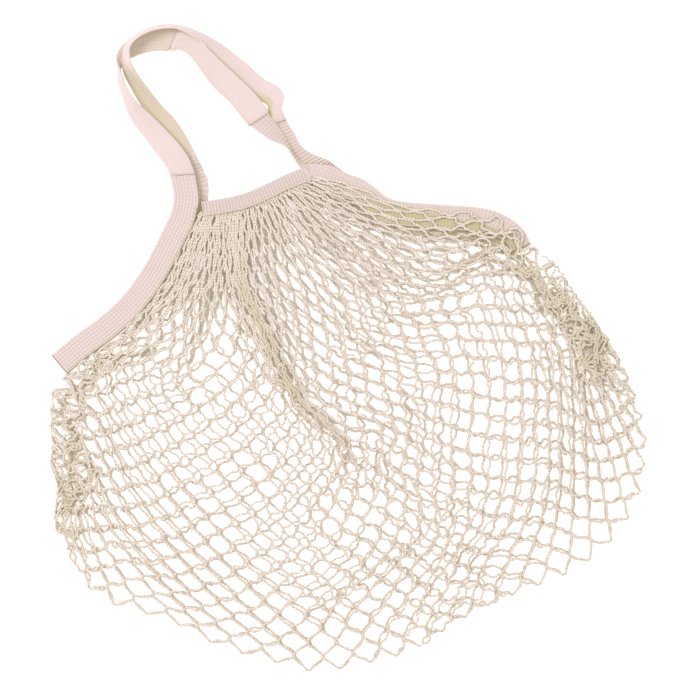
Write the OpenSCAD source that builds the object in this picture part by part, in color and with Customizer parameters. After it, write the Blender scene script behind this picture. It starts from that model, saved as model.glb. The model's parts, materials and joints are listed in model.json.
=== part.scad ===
// Knitted string bag for produce, lying flat and empty, with two long handles.
// The bag lies on its back layer on z = 0. +Y runs from the bag's bottom to its
// mouth, +X runs along the mouth, and the origin is the middle of the footprint.
// Cloth is stacked in plies: ply 0 lies on the table, ply mouth_ply is the front
// of the mouth, and each ply is cloth_t thick.

/* [Cloth] */
// Thickness of a ribbed band or a strap, and the height of one ply
cloth_t = 1.6; // [1.2:0.1:1.8]
// Thickness of the knitted net
net_t = 1.6; // [1.2:0.1:2]

/* [Net] */
// Height that the front layer stands above the back layer in the middle
net_loft = 18; // [12:1:26]
// Panels of the front layer across the bag, and again down it
net_panels = 20; // [12:1:26]

/* [Bands] */
// Width of the ribbed band along the mouth
mouth_band_w = 12; // [10:0.5:14]
// Width of the ribbed side bands, whose ends are the handle feet
side_band_w = 20; // [17:0.5:22]
// Depth that the net reaches into a band where it is sewn
sewn_depth = 1.5; // [1:0.1:2.5]

/* [Handles] */
// Full width of a handle strap
strap_w = 20; // [17:0.5:21]
// Y of the line that the handles turn up about
hinge_y = 131; // [131:0.5:132]
// Clearance each side of that line
hinge_gap = 0.3; // [0.2:0.05:0.5]

/* [Stitching] */
// Thickness of the sewing thread
thread_t = 0.5; // [0.4:0.1:0.7]
// Length of one stitch where a strap is sewn over its foot
stitch_len = 1.6; // [1.2:0.1:2]
// Radius of the chained thread along the mouth and the side bands
chain_r = 0.7; // [0.5:0.05:0.9]
// Radius of the overcast join down each side of the net
join_r = 1.4; // [1:0.1:1.6]

/* [Hidden] */

band_cream = [0.93, 0.88, 0.80];
strap_cream = [0.95, 0.90, 0.84];
net_cream = [0.90, 0.85, 0.76];
thread_cream = [0.97, 0.94, 0.88];

mouth_ply = 4.5;      // ply of the front mouth band
fold_ply = 1.4;       // height of the side band's fold at the bag's corner, in plies
step = 8;             // spacing of the rings along a band
below = hinge_y - hinge_gap;   // where the bag's own bands end
above = hinge_y + hinge_gap;   // where the handles' feet begin

// Courses of the bands: x, y, ply and share of the full width
mouth_course = [
    [-62, 118, mouth_ply, 1], [-44, 116, mouth_ply, 1], [-27, 115.5, mouth_ply, 1],
    [-8, 118, mouth_ply, 1], [10, 121.5, mouth_ply, 1], [29, 123.5, mouth_ply, 1]
];
left_front_course = [
    [-70, 140, 4.5, 1], [-72, 131, 4.5, 1], [-78, 117, 4.3, 1], [-90, 103, 4, 1], [-105, 86, 3.6, 1],
    [-121, 71, 3.1, 1], [-140, 57, 2.6, 1], [-162, 46, 2.1, 1], [-183, 38, 1.6, 1],
    [-205, 28, fold_ply, 1]
];
left_back_course = [
    [-61, 140, 0, 1], [-64, 131, 0, 1], [-75, 117, 0, 1], [-90, 103, 0, 1], [-105, 86, 0, 1],
    [-121, 71, 0, 1], [-140, 57, 0, 1], [-162, 46, 0, 1], [-183, 38, 0, 1],
    [-205, 28, 0, 1]
];
right_front_course = [
    [20, 144, 4.5, 1], [28, 131, 4.5, 1], [39, 118, 4.3, 1], [50, 107, 4, 1], [63, 96, 3.6, 1],
    [79, 83, 3.1, 1], [98, 73, 2.6, 1], [123, 63, 2.1, 1], [148, 53, 1.6, 1],
    [165, 41, 1.5, 1], [175, 27, fold_ply, 1]
];
right_back_course = [
    [29, 144, 0, 1], [35, 131, 0, 1], [43, 118, 0, 1], [52, 107, 0, 1], [64, 96, 0, 1],
    [79, 83, 0, 1], [98, 73, 0, 1], [123, 63, 0, 1], [148, 53, 0, 1],
    [165, 41, 0, 1], [175, 27, 0, 1]
];

// Courses of the handles' feet and straps
front_left_foot_course = [
    [-76, 120, 4.5, 1], [-72, 131, 4.5, 1], [-70.5, 145, 4.45, 1], [-71, 159, 4.2, 0.97]
];
front_right_foot_course = [
    [39, 118, 4.5, 1], [28, 131, 4.5, 1], [20, 144, 4.5, 1], [12, 157, 4.5, 1],
    [2, 172, 4.3, 0.95], [-4, 184, 4.1, 0.95]
];
back_left_foot_course = [
    [-70, 120, 0, 1], [-64, 131, 0, 1], [-62, 140, 0.4, 1], [-62.5, 149, 1, 1],
    [-64, 160, 1, 1]
];
back_right_foot_course = [
    [43, 118, 0, 1], [35, 131, 0, 1], [28, 141, 0.2, 1], [20, 153, 0.6, 1],
    [14, 166, 1, 1], [11, 177, 1, 0.95]
];
front_strap_course = [
    [-69, 149, 5.4, 1], [-71, 160, 5.1, 0.97], [-75, 171, 4.2, 1], [-81, 184, 3.1, 1],
    [-87.5, 198, 2.3, 0.9], [-92.5, 211, 1.6, 0.7], [-96, 222, 1.2, 0.4],
    [-97, 234, 0.9, 0.4], [-95, 246, 0.9, 0.45], [-87, 255, 1, 0.6],
    [-73, 259, 1.1, 0.7], [-58, 257, 1.3, 0.75], [-45, 250, 1.5, 0.85],
    [-34, 238, 1.9, 0.95], [-25, 224, 2.6, 1], [-16, 209, 3.6, 0.95],
    [-9, 195, 4.6, 0.95], [-4, 184, 5, 0.95], [0.5, 175.5, 5.25, 0.95]
];
back_strap_course = [
    [-62.5, 149, 0, 1], [-64, 160, 0, 1], [-69, 180, 0, 1], [-74, 198, 0.1, 0.9],
    [-78.5, 211, 0.3, 0.6], [-84, 223, 1.6, 0.42], [-88.5, 237, 3.3, 0.35],
    [-87, 252, 3.5, 0.35], [-80, 261, 3.3, 0.35], [-66, 265.5, 3.1, 0.35],
    [-50, 265, 2.7, 0.35], [-34, 260, 1.9, 0.35], [-19, 248, 0.7, 0.5],
    [-7, 233, 0.2, 0.75], [3, 216, 0, 0.9], [10, 202, 0, 0.95], [13, 190, 0, 0.95],
    [12, 180, 0, 0.95], [12.5, 171, 0, 0.95]
];

// The net's free outline, from each side band's fold down to the bottom corners
left_outline = [
    [-216, 8], [-224, -17], [-231, -50], [-229, -84], [-236, -115], [-233, -138],
    [-222, -163]
];
right_outline = [
    [191, 18], [200, 2], [208, -22], [217, -45], [226, -72], [235, -110], [235, -153],
    [227, -174], [216, -198]
];
bottom_outline = [
    [-222, -163], [-193, -181], [-165, -200], [-142, -222], [-120, -236], [-92, -253],
    [-70, -265], [-36, -268], [6, -269], [28, -262], [52, -254], [87, -247],
    [130, -243], [160, -237], [190, -222], [216, -198]
];

// Smooth curve through any list of points, with n steps between neighbours
function bend(a, b, c, d, t) =
    0.5 * (2 * b + (c - a) * t + (2 * a - 5 * b + 4 * c - d) * t * t
        + (3 * b - a - 3 * c + d) * t * t * t);
function smooth(p, n) = let (m = len(p) - 1) concat(
    [for (i = [0 : m - 1], k = [0 : n - 1])
        bend(p[max(i - 1, 0)], p[i], p[i + 1], p[min(i + 2, m)], k / n)],
    [p[m]]);

// Running length of a list of points, and the point at a share of that length
function sums(v, i = 0, s = 0, out = []) =
    i == len(v) ? out : sums(v, i + 1, s + v[i], concat(out, [s + v[i]]));
function flat_len(a, b) = norm([b[0] - a[0], b[1] - a[1]]);
function runs(p) = concat([0], sums([for (i = [1 : len(p) - 1]) flat_len(p[i - 1], p[i])]));
function spot(p, r, t) = [for (k = [0 : len(p[0]) - 1])
    lookup(t * r[len(r) - 1], [for (i = [0 : len(p) - 1]) [r[i], p[i][k]]])];
function spaced(p, gap) =
    let (q = smooth(p, 6), r = runs(q), n = max(3, ceil(r[len(r) - 1] / gap)))
    [for (i = [0 : n]) spot(q, r, i / n)];

// A station is a centre, the unit direction across the band, and the width there
function ply_z(ply) = cloth_t * (max(0, ply) + 0.5);
function unit(v) = v / norm(v);
function ahead(p, i) = p[min(i + 1, len(p) - 1)] - p[max(i - 1, 0)];
function across(p, i) = let (d = ahead(p, i)) unit([d[1], -d[0], 0]);
function stations(course, w) = let (p = spaced(course, step)) [
    for (i = [0 : len(p) - 1]) [[p[i][0], p[i][1], ply_z(p[i][2])], across(p, i), w * p[i][3]]];
function backwards(list) = [for (i = [len(list) - 1 : -1 : 0]) list[i]];

// A band of cloth along its stations, as one closed solid
module band(s, t) {
    n = len(s);
    centres = [for (q = s) q[0]];
    points = [for (i = [0 : n - 1])
        let (w = s[i][1] * s[i][2] / 2, up = unit(cross(s[i][1], ahead(centres, i))) * t / 2)
        each [s[i][0] - w - up, s[i][0] + w - up, s[i][0] + w + up, s[i][0] - w + up]];
    walls = [for (i = [0 : n - 2], k = [0 : 3])
        let (a = 4 * i + k, b = 4 * i + (k + 1) % 4) each [[a, b + 4, a + 4], [a, b, b + 4]]];
    last = 4 * (n - 1);
    ends = [[0, 2, 1], [0, 3, 2], [last, last + 1, last + 2], [last, last + 2, last + 3]];
    polyhedron(points, concat(walls, ends), convexity = 8);
}

// A round thread along a list of points
module thread(p, r, sides = 6) {
    n = len(p);
    points = [for (i = [0 : n - 1])
        let (d = unit(ahead(p, i)), a = unit(cross(d, [0, 0, 1])), b = cross(a, d))
        each [for (k = [0 : sides - 1]) p[i] + r * (a * cos(360 * k / sides) + b * sin(360 * k / sides))]];
    walls = [for (i = [0 : n - 2], k = [0 : sides - 1])
        let (a = sides * i + k, b = sides * i + (k + 1) % sides)
        each [[a, b + sides, a + sides], [a, b, b + sides]]];
    first_end = [for (k = [sides - 1 : -1 : 0]) k];
    last_end = [for (k = [0 : sides - 1]) sides * (n - 1) + k];
    polyhedron(points, concat(walls, [first_end, last_end]), convexity = 8);
}

// The half of space on one side of the line that the handles turn up about
module bag_side() {
    translate([-300, below - 600, -10]) cube([600, 600, 60]);
}
module handle_side() {
    translate([-300, above, -10]) cube([600, 600, 60]);
}

// A side band: down the front of the side opening, round its fold, and back up
module side_band(front, back) {
    f = stations(front, side_band_w);
    b = stations(back, side_band_w);
    tip = f[len(f) - 1];
    end = b[len(b) - 1];
    r = (tip[0][2] - end[0][2]) / 2;
    onward = unit(cross([0, 0, 1], tip[1]));
    fold = [for (a = [-60 : 30 : 60])
        [end[0] + [0, 0, r] + r * (onward * cos(a) - [0, 0, 1] * sin(a)), tip[1], side_band_w]];
    intersection() {
        band(concat(f, fold, backwards(b)), cloth_t);
        bag_side();
    }
}

// A line along one edge of a course: side is +1 or -1, and inset is from the edge
function edge_line(course, w, side, inset, rise) = [for (q = stations(course, w))
    q[0] + q[1] * side * (q[2] / 2 - inset) + [0, 0, rise]];
function flatten(p) = [for (q = p) [q[0], q[1]]];

// The net's four edges. Each side runs down a band's inner edge, then the outline.
left_rim = flatten(edge_line(left_front_course, side_band_w, -1, sewn_depth, 0));
right_rim = flatten(edge_line(right_front_course, side_band_w, 1, sewn_depth, 0));
function below_mouth(rim, corner) = [for (q = rim) if (q[1] < corner[1] - step / 2) q];
mouth_edge = smooth(flatten(edge_line(mouth_course, mouth_band_w, 1, sewn_depth, 0)), 3);
left_edge = smooth(concat(
    [mouth_edge[0]],
    below_mouth(left_rim, mouth_edge[0]), left_outline), 3);
right_edge = smooth(concat(
    [mouth_edge[len(mouth_edge) - 1]],
    below_mouth(right_rim, mouth_edge[len(mouth_edge) - 1]), right_outline), 3);
bottom_edge = smooth(bottom_outline, 3);

mouth_runs = runs(mouth_edge);
left_runs = runs(left_edge);
right_runs = runs(right_edge);
bottom_runs = runs(bottom_edge);

// A point of the net: u runs from left to right, v from the mouth to the bottom
function net_spot(u, v) =
    let (
        top = spot(mouth_edge, mouth_runs, u),
        low = spot(bottom_edge, bottom_runs, u),
        left = spot(left_edge, left_runs, v),
        right = spot(right_edge, right_runs, v),
        corners = (1 - u) * ((1 - v) * mouth_edge[0] + v * bottom_edge[0])
            + u * ((1 - v) * mouth_edge[len(mouth_edge) - 1]
                + v * bottom_edge[len(bottom_edge) - 1]))
    (1 - v) * top + v * low + (1 - u) * left + u * right - corners;

// Height of the front layer's underside: the bands hold it up near the mouth,
// and it stands net_loft proud of the back layer in the middle
band_share = 0.42;
function net_under(u, v) =
    let (
        held = cloth_t * (mouth_ply - 1) * pow(max(0, 1 - v / band_share), 1.3),
        round_u = 1 - pow(abs(2 * u - 1), 5),
        round_v = pow(sin(180 * min(1, 0.02 + 0.98 * v)), 0.6))
    net_t + held + (net_loft - net_t) * round_u * round_v * (v == 0 || v == 1 ? 0 : 1);

module net_front() {
    n = net_panels;
    m = n + 1;
    grid = [for (j = [0 : n], i = [0 : n]) let (p = net_spot(i / n, j / n))
        [p[0], p[1], net_under(i / n, j / n)]];
    under = m * m;
    points = concat(grid, [for (p = grid) p + [0, 0, net_t]]);
    sheet = [for (j = [0 : n - 1], i = [0 : n - 1])
        let (a = m * j + i, b = a + 1, c = a + m, d = c + 1)
        each [[a, c, b], [b, c, d], [a + under, b + under, c + under],
            [b + under, d + under, c + under]]];
    rim = concat(
        [for (i = [0 : n - 1]) i], [for (j = [0 : n - 1]) m * j + n],
        [for (i = [n : -1 : 1]) m * n + i], [for (j = [n : -1 : 1]) m * j]);
    walls = [for (k = [0 : len(rim) - 1])
        let (a = rim[k], b = rim[(k + 1) % len(rim)])
        each [[a, b, b + under], [a, b + under, a + under]]];
    color(net_cream) polyhedron(points, concat(sheet, walls), convexity = 6);
}

module net_back() {
    sides = 2 * net_panels;
    rim = concat(
        [for (k = [0 : sides - 1]) net_spot(k / sides, 0)],
        [for (k = [0 : sides - 1]) net_spot(1, k / sides)],
        [for (k = [sides : -1 : 1]) net_spot(k / sides, 1)],
        [for (k = [sides : -1 : 1]) net_spot(0, k / sides)]);
    color(net_cream) linear_extrude(net_t) polygon(rim);
}

module net_join(outline) {
    p = spaced(outline, step);
    color(net_cream) thread([for (q = p) [q[0], q[1], join_r + 0.2]], join_r);
}
module left_net_join() { net_join(left_outline); }
module right_net_join() { net_join(right_outline); }

module front_mouth_band() {
    color(band_cream) band(stations(mouth_course, mouth_band_w), cloth_t);
}
module back_mouth_band() {
    course = [for (p = mouth_course) [p[0], p[1], 0, p[3]]];
    color(band_cream) band(stations(course, mouth_band_w), cloth_t);
}
module left_side_band() {
    color(band_cream) side_band(left_front_course, left_back_course);
}
module right_side_band() {
    color(band_cream) side_band(right_front_course, right_back_course);
}

// Chained thread along the mouth bands' lower edges, where the net is gathered
module gather_stitch(ply) {
    course = [for (p = mouth_course) [p[0], p[1], ply, 1]];
    color(thread_cream)
        thread(edge_line(course, mouth_band_w, 1, chain_r, cloth_t / 2), chain_r);
}
module front_gather_stitch() { gather_stitch(mouth_ply); }
module back_gather_stitch() { gather_stitch(0); }

// Chained thread that joins the net to a side band, on its front and on its back
module band_stitch(front, back, side) {
    color(thread_cream) intersection() {
        union() {
            thread(edge_line(front, side_band_w, side, 2 * chain_r, cloth_t / 2), chain_r);
            thread(edge_line(back, side_band_w, side, 2 * chain_r, cloth_t / 2), chain_r);
        }
        bag_side();
    }
}
module left_band_stitch() { band_stitch(left_front_course, left_back_course, -1); }
module right_band_stitch() { band_stitch(right_front_course, right_back_course, 1); }

// A row of stitches: it starts at a point, runs along a unit direction, and lies flat
module stitch_row(start, along, length, rows) {
    count = floor(length / (1.6 * stitch_len));
    turn = atan2(along[1], along[0]);
    translate(start) rotate(turn)
        for (k = [0 : count - 1], j = [0 : rows - 1])
            translate([(k + 0.5) * length / count, 2.4 * j, 0])
                cube([stitch_len, thread_t, thread_t], center = true);
}

// Stitches across a strap's end. The strap faces out: up at the front, down at the back.
module lap_stitch(station, up, inward) {
    s = station;
    edge = s[0] - s[1] * 0.45 * s[2];
    z = up ? cloth_t / 2 : cloth_t + cloth_t / 2;
    away = unit(cross([0, 0, 1], s[1])) * inward * 1.6;
    color(thread_cream)
        stitch_row(edge + away + [0, 0, z], s[1], 0.9 * s[2], 2);
}
front_strap_stations = stations(front_strap_course, strap_w);
back_strap_stations = stations(back_strap_course, strap_w);
module front_left_lap_stitch() { lap_stitch(front_strap_stations[0], true, 1); }
module front_right_lap_stitch() {
    lap_stitch(front_strap_stations[len(front_strap_stations) - 1], true, -3);
}
module back_left_lap_stitch() { lap_stitch(back_strap_stations[0], false, 1); }
module back_right_lap_stitch() {
    lap_stitch(back_strap_stations[len(back_strap_stations) - 1], false, -3);
}

// Short rows of stitches that fix the mouth bands' four ends to the side bands
module mouth_end_stitches() {
    for (ply = [0, mouth_ply]) {
        course = [for (p = mouth_course) [p[0], p[1], ply, 1]];
        s = stations(course, mouth_band_w);
        for (q = [s[0], s[len(s) - 1]])
            color(thread_cream)
                stitch_row(q[0] - q[1] * 0.4 * q[2] + [0, 0, cloth_t / 2], q[1], 0.8 * q[2], 1);
    }
}

module foot(course) {
    color(band_cream) intersection() {
        band(stations(course, side_band_w), cloth_t);
        handle_side();
    }
}
module front_left_foot() { foot(front_left_foot_course); }
module front_right_foot() { foot(front_right_foot_course); }
module back_left_foot() { foot(back_left_foot_course); }
module back_right_foot() { foot(back_right_foot_course); }
module front_strap() { color(strap_cream) band(front_strap_stations, cloth_t); }
module back_strap() { color(strap_cream) band(back_strap_stations, cloth_t); }

net_front();
net_back();
left_net_join();
right_net_join();
front_mouth_band();
back_mouth_band();
left_side_band();
right_side_band();
front_gather_stitch();
back_gather_stitch();
left_band_stitch();
right_band_stitch();
mouth_end_stitches();
front_left_foot();
front_right_foot();
front_strap();
front_left_lap_stitch();
front_right_lap_stitch();
back_left_foot();
back_right_foot();
back_strap();
back_left_lap_stitch();
back_right_lap_stitch();
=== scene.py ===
"""Looks of the knitted string bag: yarn net, ribbed bands, jersey straps and their sewing.

Lengths are millimetres in the part's own frame, and become metres when a mesh is made.
"""

import json
import math

import bpy
import numpy as np
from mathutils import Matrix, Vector


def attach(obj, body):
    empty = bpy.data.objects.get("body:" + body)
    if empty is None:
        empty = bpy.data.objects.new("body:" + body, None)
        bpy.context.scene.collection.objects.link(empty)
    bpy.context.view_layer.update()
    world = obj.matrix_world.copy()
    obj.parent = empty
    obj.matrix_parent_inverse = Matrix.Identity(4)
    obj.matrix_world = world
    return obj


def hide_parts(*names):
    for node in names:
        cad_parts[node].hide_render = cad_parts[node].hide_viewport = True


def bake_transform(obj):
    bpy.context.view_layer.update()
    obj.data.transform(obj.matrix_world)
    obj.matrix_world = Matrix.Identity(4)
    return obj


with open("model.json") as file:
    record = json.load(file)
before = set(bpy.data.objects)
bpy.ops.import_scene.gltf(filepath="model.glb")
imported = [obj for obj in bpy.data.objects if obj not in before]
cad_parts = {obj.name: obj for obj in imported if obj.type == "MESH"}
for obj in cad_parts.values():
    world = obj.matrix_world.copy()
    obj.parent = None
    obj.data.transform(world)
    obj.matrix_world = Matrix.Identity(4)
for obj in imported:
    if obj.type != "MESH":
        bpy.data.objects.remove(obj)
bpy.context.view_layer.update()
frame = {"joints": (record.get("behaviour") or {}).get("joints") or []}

MM = 0.001
UP = np.array([0.0, 0.0, 1.0])
BAG, FRONT, BACK = "bag", "front_handle", "back_handle"
HINGE_Y = frame["joints"][0]["pos_m"][1] / MM

# ---------------------------------------------------------------- curves


def smooth(points, per):
    """Catmull-Rom curve through the points, with per samples between neighbours."""
    p = np.asarray(points, float)
    q = np.vstack([2 * p[0] - p[1], p, 2 * p[-1] - p[-2]])
    t = np.linspace(0, 1, per, endpoint=False)[:, None]
    out = []
    for a, b, c, d in zip(q, q[1:], q[2:], q[3:]):
        out.append(
            0.5
            * (2 * b + (c - a) * t + (2 * a - 5 * b + 4 * c - d) * t**2
               + (3 * b - a - 3 * c + d) * t**3)
        )
    return np.vstack(out + [p[-1:]])


def lengths(p):
    """Running length along a polyline, in its first three columns."""
    return np.concatenate([[0], np.cumsum(np.linalg.norm(np.diff(p[:, :3], axis=0), axis=1))])


def at_lengths(p, s):
    """Points of a polyline at the running lengths s."""
    r = lengths(p)
    return np.stack([np.interp(s, r, p[:, k]) for k in range(p.shape[1])], axis=-1)


def spaced(points, gap):
    """The smooth curve through the points, resampled about gap apart."""
    p = smooth(points, 12)
    total = lengths(p)[-1]
    return at_lengths(p, np.linspace(0, total, max(3, int(round(total / gap)) + 1)))


def ease(x, a, b):
    """0 up to a, 1 from b on, and a smooth rise between them."""
    t = np.clip((x - a) / (b - a), 0, 1)
    return t * t * (3 - 2 * t)


def unit(v):
    """Vectors of length one in the same directions."""
    return v / np.maximum(np.linalg.norm(v, axis=-1, keepdims=True), 1e-9)


def directions(path):
    """Unit vectors ahead, beside and over a path, at each of its points."""
    ahead = unit(np.gradient(path, axis=0))
    beside = unit(np.cross(ahead, UP))
    return ahead, beside, np.cross(beside, ahead)


# ---------------------------------------------------------------- meshes


def new_object(name, points, faces, material, body, attribute=None):
    """One mesh piece riding on a body. attribute is a vector kept at each vertex for its material."""
    mesh = bpy.data.meshes.new(name)
    mesh.from_pydata((np.asarray(points) * MM).tolist(), [], faces)
    mesh.polygons.foreach_set("use_smooth", [True] * len(mesh.polygons))
    if attribute is not None:
        store = mesh.attributes.new("cloth", "FLOAT_VECTOR", "POINT")
        store.data.foreach_set("vector", np.asarray(attribute, np.float32).ravel())
    mesh.materials.append(material)
    mesh.update()
    piece = bpy.data.objects.new(name, mesh)
    bpy.context.scene.collection.objects.link(piece)
    if body:
        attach(piece, body)
    return piece


TABLE_GAP = 0.05    # no cloth reaches lower than this
YARN_SIDES = 6      # corners of a yarn's cross section
PLY_PITCH = 8.0     # length over which a yarn's two plies turn once
# Away from the key lamp: the side of a yarn that faces this way is given painted shade.
AWAY_FROM_KEY_LAMP = np.array([0.6, -0.6, -0.53])    # the side of a yarn that stays in shade


def tube_faces(count, start):
    """Faces of a closed tube of count rings, whose first vertex has the number start."""
    ring = np.arange(count - 1)[:, None] * YARN_SIDES
    k = np.arange(YARN_SIDES)[None, :]
    k2 = (k + 1) % YARN_SIDES
    corners = [ring + k, ring + k2, ring + YARN_SIDES + k2, ring + YARN_SIDES + k]
    faces = (np.stack(corners, axis=-1).reshape(-1, 4) + start).tolist()
    faces.append([start + j for j in range(YARN_SIDES - 1, -1, -1)])
    faces.append([start + (count - 1) * YARN_SIDES + j for j in range(YARN_SIDES)])
    return faces


def tube(path, radius, phase, painted_shade=0.0, twist=0.0):
    """Rings of a yarn along a path, and at each vertex: along, around, and its share of painted shade, 0
    to 1.

    The fourth argument is how far other cloth shades each point, given as painted shade, and twist how
    much the two plies show.
    """
    n = len(path)
    _, beside, over = directions(path)
    angle = np.linspace(0, 2 * math.pi, YARN_SIDES, endpoint=False)
    s = lengths(path)
    r = np.broadcast_to(radius, (n,))[:, None]
    r = r * (1 + twist * np.cos(2 * (angle[None, :] - 2 * math.pi * s[:, None] / PLY_PITCH - phase)))
    ring = (path[:, None, :] + r[..., None]
            * (np.cos(angle)[None, :, None] * beside[:, None, :]
               + np.sin(angle)[None, :, None] * over[:, None, :]))
    # Painted shade: the side of each ring facing away from the key lamp takes the shade colour.
    away = ((ring - path[:, None, :]) / r[..., None]) @ AWAY_FROM_KEY_LAMP
    shaded = np.maximum(0.9 * np.clip(away, 0, 1), np.broadcast_to(painted_shade, (n,))[:, None])
    marks = np.stack([np.broadcast_to(s[:, None], shaded.shape),
                      np.broadcast_to(angle[None, :], shaded.shape), shaded], axis=-1)
    return ring.reshape(-1, 3), marks.reshape(-1, 3)


def yarn_object(name, strands, material, body, twist=0.15):
    """One piece made of many yarns. Each strand is (path, radius, phase), and may add a share of painted
    shade.
    """
    points, faces, marks = [], [], []
    start = 0
    for strand in strands:
        ring_points, ring_marks = tube(*strand, twist=twist)
        points.append(ring_points)
        faces += tube_faces(len(strand[0]), start)
        marks.append(ring_marks)
        start += len(ring_points)
    return new_object(name, np.vstack(points), faces, material, body, np.vstack(marks))


def quads_of(grid):
    """Four-sided faces between the neighbours of a grid of vertex numbers."""
    return np.stack([grid[:-1, :-1], grid[:-1, 1:], grid[1:, 1:], grid[1:, :-1]], -1).reshape(-1, 4)


def middle_of(edges, share, cup):
    """A strip's middle surface between two edge curves, bulged by cup, and its normals."""
    left, right = edges
    mid = left[:, None, :] * (1 - share[None, :, None]) + right[:, None, :] * share[None, :, None]
    normal = unit(np.cross(np.gradient(mid, axis=1), np.gradient(mid, axis=0)))
    return mid + normal * (cup * (1 - (2 * share - 1) ** 2))[None, :, None], normal


def roundness(share, along, thick):
    """The share of its thickness that a strip has at each place: none at its edges and ends."""
    edge = np.sqrt(np.clip(1 - np.abs(2 * share - 1) ** 8, 0, 1))
    run = np.minimum(along, along[-1] - along)
    end = np.sqrt(np.clip(1 - (1 - np.clip(run / (2.2 * thick), 0, 1)) ** 2, 0, 1))
    return edge[None, :] * end[:, None]


def strip_object(name, edges, thick, relief, material, body, pitch=0.5, cup=0.0, fold=None):
    """A closed strip of cloth between two edge curves, with rounded edges and knitted relief.

    relief(a, b) gives the height of the knit at a mm across and b mm along, on both faces.
    fold(a, place) gives how much painted shade the cloth gets there, from 0 to 1.
    """
    left, right = edges
    n = len(left)
    wide = np.linalg.norm(right - left, axis=1)
    m = int(round(wide.max() / pitch))
    share = np.linspace(0, 1, m + 1)
    along = lengths((left + right) / 2)
    mid, normal = middle_of(edges, share, cup)
    a = np.broadcast_to(share[None, :] * wide.mean(), (n, m + 1))
    b = np.broadcast_to(along[:, None], (n, m + 1))
    rise = normal * ((thick / 2 + relief(a, b)) * roundness(share, along, thick))[..., None]
    grid = np.arange(n * (m + 1)).reshape(n, m + 1)
    under = grid.copy()
    inner = (slice(1, n - 1), slice(1, m))
    under[inner] = n * (m + 1) + np.arange((n - 2) * (m - 1)).reshape(n - 2, m - 1)
    points = np.vstack([(mid + rise).reshape(-1, 3), (mid - rise)[inner].reshape(-1, 3)])
    points[:, 2] = np.maximum(points[:, 2], TABLE_GAP)
    faces = quads_of(grid).tolist() + quads_of(under)[:, ::-1].tolist()
    # Painted shade from the fold mask is stored as the third mark.
    painted_shade = fold(a, mid) if fold else np.zeros_like(a)
    marks = np.stack([a, b, painted_shade], -1)
    marks = np.vstack([marks.reshape(-1, 3), marks[inner].reshape(-1, 3)])
    return new_object(name, points, faces, material, body, marks)


# ---------------------------------------------------------------- materials


class Nodes:
    """A short way to write a material's node tree."""

    def __init__(self, name):
        self.material = bpy.data.materials.new(name)
        self.material.use_nodes = True
        self.tree = self.material.node_tree
        self.shader = self.tree.nodes["Principled BSDF"]

    def add(self, kind, **values):
        """A new node with the given properties or input values."""
        node = self.tree.nodes.new(kind)
        for key, value in values.items():
            if hasattr(node, key):
                setattr(node, key, value)
            else:
                node.inputs[key.replace("_", " ")].default_value = value
        return node

    def link(self, out, into):
        """Feeds one node's output into another's input."""
        self.tree.links.new(out, into)

    def math(self, operation, a, b=None, c=None):
        """A math node fed by numbers or by other nodes' outputs."""
        node = self.add("ShaderNodeMath", operation=operation)
        for socket, value in zip(node.inputs, (a, b, c)):
            if value is None:
                continue
            if isinstance(value, (int, float)):
                socket.default_value = value
            else:
                self.link(value, socket)
        return node.outputs[0]

    def mix(self, factor, a, b, blend="MIX"):
        """Colour a turned into colour b by factor, or multiplied by it."""
        node = self.add("ShaderNodeMix", data_type="RGBA", blend_type=blend)
        sockets = [s for s in node.inputs if s.enabled]
        for socket, value in zip(sockets, (factor, a, b)):
            if isinstance(value, (int, float, tuple)):
                socket.default_value = value
            else:
                self.link(value, socket)
        return [s for s in node.outputs if s.enabled][0]

    def noise(self, scale, detail=3.0):
        """Cloudy values near 0.5. scale is how many clouds there are to a metre."""
        node = self.add("ShaderNodeTexNoise")
        node.inputs["Scale"].default_value = scale
        node.inputs["Detail"].default_value = detail
        node.inputs["Roughness"].default_value = 0.6
        where = self.add("ShaderNodeTexCoord")
        self.link(where.outputs["Object"], node.inputs["Vector"])
        return node.outputs[0]

    def shade(self, colour_in_light, colour_in_shade, reach, shade_mark):
        """Painted shade: cotton turned greener, toward its colour in shade, where other cloth surrounds
        it and where its mark says, as inside a fold.
        """
        hidden = self.add("ShaderNodeAmbientOcclusion", samples=6)
        hidden.inputs["Distance"].default_value = reach
        open_share = self.math("POWER", hidden.outputs["AO"], 1.3)
        seen = self.math("MULTIPLY", open_share, self.math("SUBTRACT", 1.0, shade_mark))
        return self.mix(seen, colour_in_shade, colour_in_light)

    def finish(self, colour, tone, height, distance, roughness):
        """The material: colour times tone, with height as a bump of distance metres."""
        toned = self.mix(1.0, colour, tone, "MULTIPLY")
        self.link(toned, self.shader.inputs["Base Color"])
        bump = self.add("ShaderNodeBump")
        bump.inputs["Distance"].default_value = distance
        bump.inputs["Strength"].default_value = 0.8
        self.link(height, bump.inputs["Height"])
        self.link(bump.outputs[0], self.shader.inputs["Normal"])
        rough = self.math("MULTIPLY_ADD", self.noise(900), 0.12, roughness - 0.08)
        self.link(rough, self.shader.inputs["Roughness"])
        self.shader.inputs["Specular IOR Level"].default_value = 0.2
        self.shader.inputs["Sheen Weight"].default_value = 0.3
        self.shader.inputs["Sheen Roughness"].default_value = 0.5
        # Painted glow: the cloth gives off a little warm light of its own, which lightens its shade.
        self.shader.inputs["Emission Color"].default_value = PAINTED_GLOW_COTTON
        self.shader.inputs["Emission Strength"].default_value = 0.07
        return self.material


LIGHT_COTTON = (0.735, 0.61, 0.645, 1)
CREAM_COTTON = (0.84, 0.75, 0.745, 1)
PINK_COTTON = (0.86, 0.735, 0.775, 1)
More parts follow.
